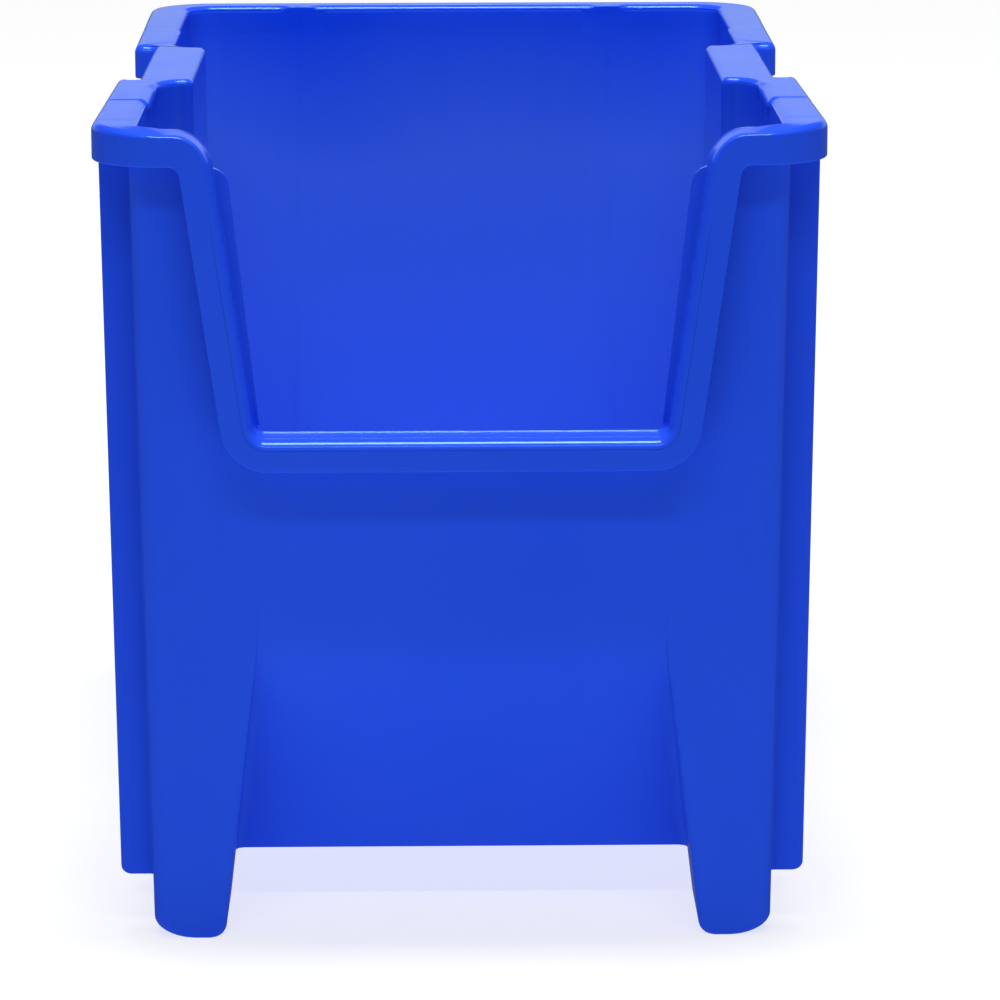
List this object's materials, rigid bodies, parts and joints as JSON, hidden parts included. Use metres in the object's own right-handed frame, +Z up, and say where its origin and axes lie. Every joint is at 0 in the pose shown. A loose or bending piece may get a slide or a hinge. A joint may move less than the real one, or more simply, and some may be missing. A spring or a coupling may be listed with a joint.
{
  "type": "stacking bin",
  "caption": "Tall open stacking bin with a cut-away hopper front, ledge rim, channelled and finned sides, and short corner legs.",
  "frame": {"origin": "middle of the bin's footprint, on the ground under its legs", "axes": "+X across the bin, -Y out of the hopper front, +Y to the back wall, +Z up"},
  "size_m": [0.276, 0.4444, 0.3175],
  "materials": {
    "moulding": "semi-gloss moulded polypropylene"
  },
  "bodies": {
    "root": {"back_rim": "moulding", "back_wall": "moulding", "floor_panel": "moulding", "floor_rib_1": "moulding", "floor_rib_2": "moulding", "floor_rib_3": "moulding", "floor_rib_4": "moulding", "floor_rib_5": "moulding", "front_recess": "moulding", "front_wall": "moulding", "hopper_sill": "moulding", "left_fin_1": "moulding", "left_fin_2": "moulding", "left_fin_3": "moulding", "left_fin_4": "moulding", "left_floor_spine": "moulding", "left_front_leg": "moulding", "left_guide_rib": "moulding", "left_hopper_edge": "moulding", "left_post": "moulding", "left_rear_leg": "moulding", "left_rim_channel": "moulding", "left_rim_front": "moulding", "left_rim_rear": "moulding", "left_wall_channel": "moulding", "left_wall_front": "moulding", "left_wall_rear": "moulding", "right_fin_1": "moulding", "right_fin_2": "moulding", "right_fin_3": "moulding", "right_fin_4": "moulding", "right_floor_spine": "moulding", "right_front_leg": "moulding", "right_guide_rib": "moulding", "right_hopper_edge": "moulding", "right_post": "moulding", "right_rear_leg": "moulding", "right_rim_channel": "moulding", "right_rim_front": "moulding", "right_rim_rear": "moulding", "right_wall_channel": "moulding", "right_wall_front": "moulding", "right_wall_rear": "moulding"}
  },
  "joints": []
}
